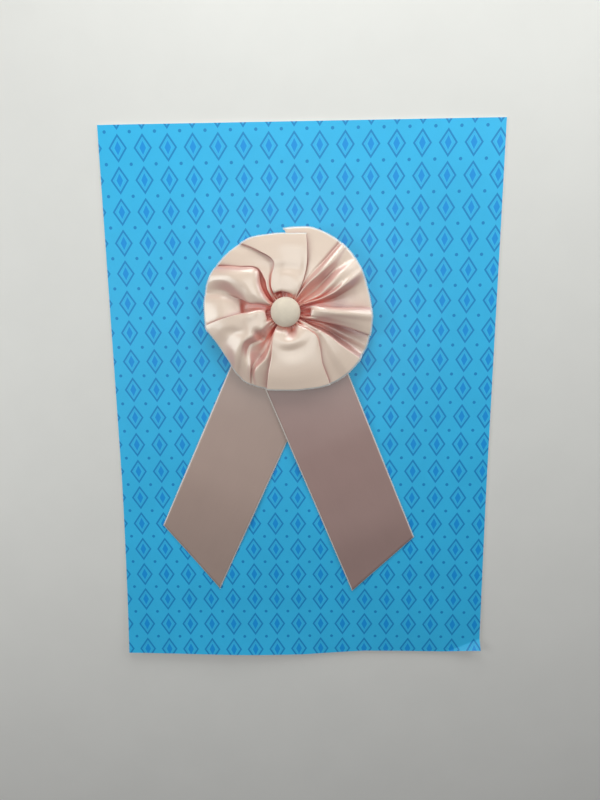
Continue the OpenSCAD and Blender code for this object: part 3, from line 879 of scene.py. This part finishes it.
def picot_tree(material):
    """Loops of yarn that follow a line: step, sizes and seed are its inputs."""
    tree = bpy.data.node_groups.new("picot_edge", "GeometryNodeTree")
    face = tree.interface
    face.new_socket("Geometry", in_out="INPUT", socket_type="NodeSocketGeometry")
    identifiers = {}
    for name in ("Step", "Loop radius", "Yarn radius", "Seed"):
        kind = "NodeSocketInt" if name == "Seed" else "NodeSocketFloat"
        identifiers[name] = face.new_socket(name, in_out="INPUT", socket_type=kind).identifier
    face.new_socket("Geometry", in_out="OUTPUT", socket_type="NodeSocketGeometry")

    def node(kind, inputs=None, **settings):
        return add_node(tree, kind, inputs, **settings).outputs

    given = node("NodeGroupInput")
    named = node("GeometryNodeInputNamedAttribute", {"Name": "outward"}, data_type="FLOAT_VECTOR")
    path = node("GeometryNodeMeshToCurve", {"Mesh": given["Geometry"]})
    by_length = {"Curve": path[0], "Length": given["Step"]}
    spaced = node("GeometryNodeResampleCurve", by_length, mode="LENGTH")
    along = node("GeometryNodeInputTangent")
    facing = node("FunctionNodeAlignRotationToVector", {"Vector": named[0]}, axis="X")
    turned = {"Rotation": facing[0], "Vector": along[0]}
    facing = node("FunctionNodeAlignRotationToVector", turned, axis="Y", pivot_axis="X")
    size = node("FunctionNodeRandomValue", {2: 0.85, 3: 1.12, "Seed": given["Seed"]}, data_type="FLOAT")
    loop = node("GeometryNodeCurvePrimitiveCircle", {"Resolution": 8, "Radius": given["Loop radius"]})
    yarn = node("GeometryNodeCurvePrimitiveCircle", {"Resolution": 4, "Radius": given["Yarn radius"]})
    ring = node("GeometryNodeCurveToMesh", {"Curve": loop[0], "Profile Curve": yarn[0]})
    on_points = {"Points": spaced[0], "Instance": ring[0], "Rotation": facing[0], "Scale": size[1]}
    placed = node("GeometryNodeInstanceOnPoints", on_points)
    real = node("GeometryNodeRealizeInstances", {0: placed[0]})
    smooth = node("GeometryNodeSetShadeSmooth", {0: real[0]})
    finish = node("GeometryNodeSetMaterial", {"Geometry": smooth[0], "Material": material})
    node("NodeGroupOutput", {0: finish[0]})
    return tree, identifiers


def run_nodes(name, guide, tree, values, material):
    """The tree's result on the guide as a plain mesh object, with the guide removed."""
    modifier = guide.modifiers.new("nodes", "NODES")
    modifier.node_group = tree
    for identifier, value in values.items():
        modifier[identifier] = value
    graph = bpy.context.evaluated_depsgraph_get()
    mesh = bpy.data.meshes.new_from_object(guide.evaluated_get(graph), depsgraph=graph)
    mesh.name = name
    bpy.data.objects.remove(guide)
    if not len(mesh.polygons):
        raise RuntimeError(f"{name} came out empty")
    mesh.materials.clear()
    mesh.materials.append(material)
    return add_object(name, mesh)


def picots(name, edge, inner, ribbon, colour, share=1.0):
    """The woven loops along an edge of the ribbon; inner is the line of points before the edge."""
    outward = edge - inner
    outward = outward / np.maximum(np.linalg.norm(outward, axis=-1, keepdims=True), 1e-9)
    material = picot_yarn("picot_" + name, colour)
    tree, identifiers = picot_tree(material)
    values = {
        identifiers["Step"]: ribbon.picot_step,
        identifiers["Loop radius"]: ribbon.picot_size * share,
        identifiers["Yarn radius"]: ribbon.picot_size * YARN_SHARE * share,
        identifiers["Seed"]: SEED,
    }
    guide = edge_path(name + "_path", edge + outward * PICOT_OUT, outward)
    return run_nodes(name, guide, tree, values, material)


def in_two_steps(ends, counts):
    """Places from the first end to the last, with other steps on each side of the middle one."""
    first = np.linspace(ends[0], ends[1], counts[0], endpoint=False)
    return np.concatenate([first, np.linspace(ends[1], ends[2], counts[1])])


def card_face(p):
    """The card's printed face as a grid of points in metres, finer at its corner and low edge."""
    half_x, half_y = card_high.x, card_high.y
    xs = in_two_steps((-half_x, half_x - FINE_W, half_x), CARD_COLUMNS)
    ys = in_two_steps((-half_y, FINE_H - half_y, half_y), CARD_ROWS)
    x, y = np.meshgrid(xs, ys, indexing="ij")
    near_edge = np.clip((BOW_DEEP - half_y - y) / BOW_DEEP, 0, 1) ** 2
    bow = p.edge_lift * near_edge * np.exp(-(((x - BOW_X) / BOW_HALF) ** 2))
    bent = np.clip(1 - (half_x - x) / BENT_ALONG - (y + half_y) / BENT_UP, 0, 1)
    low = np.clip((CURL_Y - y) / (half_y + CURL_Y), 0, 1)
    left = np.clip(-x / half_x, 0, 1)
    right = np.clip(x / half_x, 0, 1)
    curl = p.curl * (left + RIGHT_CURL * right) * low**2
    x = x + (SHIFT_OUT[1] * right - SHIFT_OUT[0] * left) * MM * low
    right_part = np.clip(x / SHIFT_GROWS, 0, 1)
    y = y + (SHIFT_UP[0] * left * low**2 + SHIFT_UP[1] * right_part * low**4 + SHIFT_UP[2] * bent) * MM
    return np.stack([x, y, card_top + bow + p.corner_lift * bent**BENT_STEEP + curl], axis=-1)


def board_faces(face, columns, rows):
    """A board's faces: the given ones over its top points, its bottom, and the strip round its edge."""
    count = columns * rows
    ring = [i * rows for i in range(columns)]
    ring += [(columns - 1) * rows + j for j in range(1, rows)]
    ring += [i * rows + rows - 1 for i in range(columns - 2, -1, -1)]
    ring += list(range(rows - 2, 0, -1))
    side = [(a, a + count, b + count, b) for a, b in zip(ring, ring[1:] + ring[:1])]
    return [*face.tolist(), *(face[:, ::-1] + count).tolist(), *side]


def turn_outwards(thing):
    """Turns a closed mesh's faces outwards."""
    work = bmesh.new()
    work.from_mesh(thing.data)
    bmesh.ops.recalc_face_normals(work, faces=work.faces)
    work.to_mesh(thing.data)
    work.free()


class COCKADE_OT_card(bpy.types.Operator):
    """Printed card with a bowed low edge and one bent corner"""

    bl_idname = "cockade.card"
    bl_label = "Card"

    def execute(self, context):
        p = context.scene.cockade_card
        grid = card_face(p)
        columns, rows = grid.shape[:2]
        top = grid.reshape(-1, 3)
        bottom = top - np.array([0, 0, card_high.z - card_low.z])
        face = facing_up(top, grid_faces(columns, rows))
        faces = board_faces(face, columns, rows)
        kinds = [0] * len(face) + [1] * (len(faces) - len(face))
        materials = [printed_paper(p), cut_board(p)]
        card = add_mesh("card_printed", np.concatenate([top, bottom]), faces, materials, False, kinds)
        turn_outwards(card)
        settle(card)
        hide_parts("card")
        return {"FINISHED"}


def tail_surface(turn, shift, plus, minus, low, lifts):
    """A tail's grid of points, with each point's place along, place across and distance to the cut."""
    across = np.linspace(0, 1, TAIL_COLUMNS)
    end = minus + (plus - minus) * across
    y = -TAIL_HIDDEN + np.linspace(0, 1, TAIL_ROWS)[:, None] * (end + TAIL_HIDDEN)
    share = (y + TAIL_HIDDEN) / (max(plus, minus) + TAIL_HIDDEN)
    shares, rises = np.array(lifts).T
    lift = steady(shares, rises[:, None], share.ravel()).reshape(share.shape)
    ripple = RIPPLE_RISE * np.sin(y / RIPPLE_LONG + 2.2 * across + turn)
    ripple = np.maximum(ripple * np.clip((y - RIPPLE_FROM) / RIPPLE_GROWS, 0, 1), RIPPLE_DEPTH)
    x = np.broadcast_to(shift + RIBBON_W * (across - 0.5), y.shape)
    a = math.radians(180 + turn)
    turned_x = middle_x / MM + x * math.cos(a) - y * math.sin(a)
    turned_y = middle_y / MM + x * math.sin(a) + y * math.cos(a)
    points = np.stack([turned_x, turned_y, low + lift + ripple], axis=-1) * MM
    from_cut = (end - y) * math.cos(math.atan2(plus - minus, RIBBON_W)) * MM
    return points, y * MM, np.broadcast_to(across * RIBBON_W * MM, y.shape), from_cut


class COCKADE_OT_tails(bpy.types.Operator):
    """Two ribbon tails, cut at a slant, with their woven edges"""

    bl_idname = "cockade.tails"
    bl_label = "Tails"

    def execute(self, context):
        p = context.scene.cockade_ribbon
        pale = light(242, 230, 222)
        for name, turn, shift, plus, minus, low, tone, lifts in TAILS:
            # Painted shade: each tail's colour is made lighter or darker as its threads lie to the light
            colour = [c * k for c, k in zip(p.tails, tone)]
            satin = ribbon_satin(name + "_satin", [colour], pale, 0.45)
            points, along, across, from_cut = tail_surface(turn, shift, plus, minus, low, lifts)
            tail = cloth_object(name + "_ribbon", points, along, across, satin)
            paint_attribute(tail, "cut", from_cut.ravel())
            thicken(tail, p.thickness)
            sides = (("a", 0, 1), ("b", -1, -2))
            loops = [
                picots(f"{name}_picots_{side}", points[:, edge], points[:, inner], p, pale, TAIL_PICOTS)
                for side, edge, inner in sides
            ]
            for piece in (*loops, tail):
                settle(piece)
            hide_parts(name)
            mean = (plus + minus) / 2 + TAIL_HIDDEN
            mean * MM
        return {"FINISHED"}


class COCKADE_OT_rosette(bpy.types.Operator):
    """Gathered ribbon of the rosette with its woven rim"""

    bl_idname = "cockade.rosette"
    bl_label = "Rosette"

    def execute(self, context):
        p = context.scene.cockade_ribbon
        points, at = rosette_surface(p.columns)
        points = (points + np.array([middle_x / MM, middle_y / MM, 0])) * MM
        length = travelled(points[:, -1])
        along, across = np.meshgrid(length, at / at[-1] * RIBBON_W * MM, indexing="ij")
        pale = light(255, 248, 242)
        satin = ribbon_satin("rosette_satin", [p.satin, p.fold_shade, p.depth, p.slope_shade, p.rim_fold_shade], pale, 0.9)
        rosette = cloth_object("rosette_ribbon", points, along, across, satin)
        # Painted shade: the share of sky each point sees and the steepness of its slope choose the satin's
        # painted fold and slope shade
        share = sky_share(rosette, bpy.data.objects["button_cap"]).reshape(points.shape[:2])
        paint_attribute(rosette, "open_sky", softened(share).ravel())
        paint_attribute(rosette, "steep", 1 - np.abs(vertex_vectors(rosette.data, "normal")[:, 2]))
        thicken(rosette, p.thickness)
        loops = picots("rosette_picots", points[:, -1], points[:, -2], p, pale)
        settle(loops)
        settle(rosette)
        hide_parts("rosette")
        return {"FINISHED"}


def cap_mesh(pleats):
    """Points and faces of the button's cap: its outline turned round, pleated on the underside."""
    base, top = button_low.z, button_high.z
    scale = (top - base) / MM / CAP_OUTLINE_HIGH
    angles = [TURN * i / CAP_AROUND for i in range(CAP_AROUND)]
    vertices = []
    for k, (r, h) in enumerate(CAP_OUTLINE):
        depth = CAP_PLEAT * max(0.0, 1 - abs(h - CAP_PLEAT_Z) / CAP_PLEAT_REACH) if k < CAP_PLEATED else 0.0
        for a in angles:
            out = (r + depth * math.sin(pleats * a)) * MM
            wave = CAP_WAVE * math.sin(3 * a + 0.7) * min(1, r / 8)
            z = base + (h * scale + wave) * MM
            vertices.append((middle_x + out * math.cos(a), middle_y + out * math.sin(a), z))
    faces = []
    for k in range(len(CAP_OUTLINE) - 1):
        for i in range(CAP_AROUND):
            a, b = k * CAP_AROUND + i, k * CAP_AROUND + (i + 1) % CAP_AROUND
            faces.append((a, b, b + CAP_AROUND, a + CAP_AROUND))
    last = (len(CAP_OUTLINE) - 1) * CAP_AROUND
    faces += [(last + i, last + (i + 1) % CAP_AROUND, len(vertices)) for i in range(CAP_AROUND)]
    return [*vertices, (middle_x, middle_y, top)], faces


class COCKADE_OT_button(bpy.types.Operator):
    """Covered button: its cloth cap over the plain core"""

    bl_idname = "cockade.button"
    bl_label = "Button"

    def execute(self, context):
        p = context.scene.cockade_button
        vertices, faces = cap_mesh(p.pleats)
        cap = add_mesh("button_cap", vertices, faces, [button_cloth(p.cloth)])
        heights = np.array([v[2] for v in vertices])
        # Painted shade: open_sky on the cap is not ray-cast but rises with height above its base, over
        # CAP_SHADED
        paint_attribute(cap, "open_sky", np.clip((heights - button_low.z) / CAP_SHADED, 0, 1))
        thicken(cap, CAP_WALL, -1.0)
        settle(cap)
        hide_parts("button_cover")
        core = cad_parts["button_core"]
        core.data.materials.clear()
        core.data.materials.append(moulded_core())
        return {"FINISHED"}


class COCKADE_OT_stage(bpy.types.Operator):
    """Pale floor, soft lights and the camera"""

    bl_idname = "cockade.stage"
    bl_label = "Stage"

    def execute(self, context):
        p = context.scene.cockade_stage
        corners = [(x * FLOOR_HALF, y * FLOOR_HALF, 0) for x, y in ((-1, -1), (1, -1), (1, 1), (-1, 1))]
        floor = add_mesh("floor", corners, [(0, 1, 2, 3)], [floor_paint(p.floor)], False)
        for name, place, size in LAMPS:
            soft_light(name, place, size, getattr(p, name))
        world = bpy.data.worlds.new("air")
        world.use_nodes = True
        sky = world.node_tree.nodes["Background"]
        sky.inputs[0].default_value = AIR_COLOUR
        sky.inputs[1].default_value = p.air
        context.scene.world = world
        context.scene.camera = camera_before_card()
        context.scene.view_settings.view_transform = "Standard"
        return {"FINISHED"}


def soft_light(name, place, size, power):
    lamp = bpy.data.lights.new(name, "AREA")
    lamp.shape = "RECTANGLE"
    lamp.size = size
    lamp.size_y = size
    lamp.energy = power
    lamp.color = LAMP_COLOUR
    thing = add_object(name, lamp)
    thing.location = place
    thing.rotation_euler = (Vector(LAMP_AIM) - Vector(place)).to_track_quat("-Z", "Y").to_euler()


def camera_before_card():
    """Camera at the picture's place over the card's middle."""
    x, y, z = (Matrix.Rotation(math.radians(a), 3, axis) for a, axis in zip(CAMERA_TURNS, "XYZ"))
    turn = z @ y @ x
    eye = -(turn.transposed() @ Vector(CAMERA_SHIFT)) * MM + Vector((0, 0, card_top))
    data = bpy.data.cameras.new("camera")
    data.sensor_fit = "VERTICAL"
    data.sensor_height = SENSOR
    data.lens = FOCAL_PIXELS * SENSOR / PICTURE_HIGH
    data.clip_start = 0.01
    camera = add_object("camera", data)
    camera.matrix_world = Matrix.Translation(eye) @ turn.transposed().to_4x4()
    return camera


class COCKADE_PT_panel(bpy.types.Panel):
    bl_label = "Ribbon cockade"
    bl_idname = "COCKADE_PT_panel"
    bl_space_type = "VIEW_3D"
    bl_region_type = "UI"
    bl_category = "Cockade"

    def draw(self, context):
        for name, kind in GROUPS.items():
            box = self.layout.box()
            for field in kind.__annotations__:
                box.prop(getattr(context.scene, name), field)
        for step in STEPS:
            self.layout.operator("cockade." + step)


GROUPS = {
    "cockade_card": CockadeCard,
    "cockade_ribbon": CockadeRibbon,
    "cockade_button": CockadeButton,
    "cockade_stage": CockadeStage,
}
STEPS = ("card", "tails", "button", "rosette", "stage")
CLASSES = (
    *GROUPS.values(),
    COCKADE_OT_card,
    COCKADE_OT_tails,
    COCKADE_OT_rosette,
    COCKADE_OT_button,
    COCKADE_OT_stage,
    COCKADE_PT_panel,
)


def register():
    for kind in CLASSES:
        bpy.utils.register_class(kind)
    for name, kind in GROUPS.items():
        setattr(bpy.types.Scene, name, PointerProperty(type=kind))


def unregister():
    for name in GROUPS:
        delattr(bpy.types.Scene, name)
    for kind in reversed(CLASSES):
        bpy.utils.unregister_class(kind)


def main():
    register()
    for step in STEPS:
        getattr(bpy.ops.cockade, step)()


if __name__ == "__main__":
    main()
